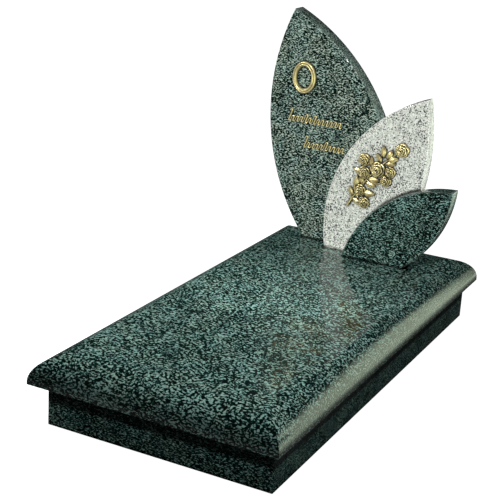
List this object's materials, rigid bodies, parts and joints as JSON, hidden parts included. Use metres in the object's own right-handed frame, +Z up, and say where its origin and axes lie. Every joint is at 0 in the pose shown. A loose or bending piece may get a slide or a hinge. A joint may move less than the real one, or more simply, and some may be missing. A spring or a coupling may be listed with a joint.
{
  "type": "grave monument",
  "caption": "Granite grave monument: a low kerb, a covering slab with a moulded edge, and a headstone of leaf-shaped stones with a photo frame and a bronze rose spray.",
  "frame": {"origin": "centre of the monument's plan at ground level", "axes": "+X across, to the right of someone who reads the headstone; +Y towards the head, where the headstone stands; +Z up"},
  "size_m": [0.9, 1.85, 1.2001],
  "materials": {
    "dark_granite": "polished dark green granite with pale wavy flecks",
    "white_granite": "polished white granite with fine black specks",
    "gilt_bronze": "polished gilt bronze, dark in the hollows"
  },
  "bodies": {
    "root": {"kerb_foot": "dark_granite", "kerb_left": "dark_granite", "kerb_right": "dark_granite", "kerb_head_block": "dark_granite", "covering_slab": "dark_granite", "tall_leaf": "dark_granite", "white_leaf": "white_granite", "small_leaf": "dark_granite", "photo_frame": "gilt_bronze", "gilt_row_upper": "gilt_bronze", "gilt_row_lower": "gilt_bronze", "bronze_spray": "gilt_bronze"}
  },
  "joints": []
}
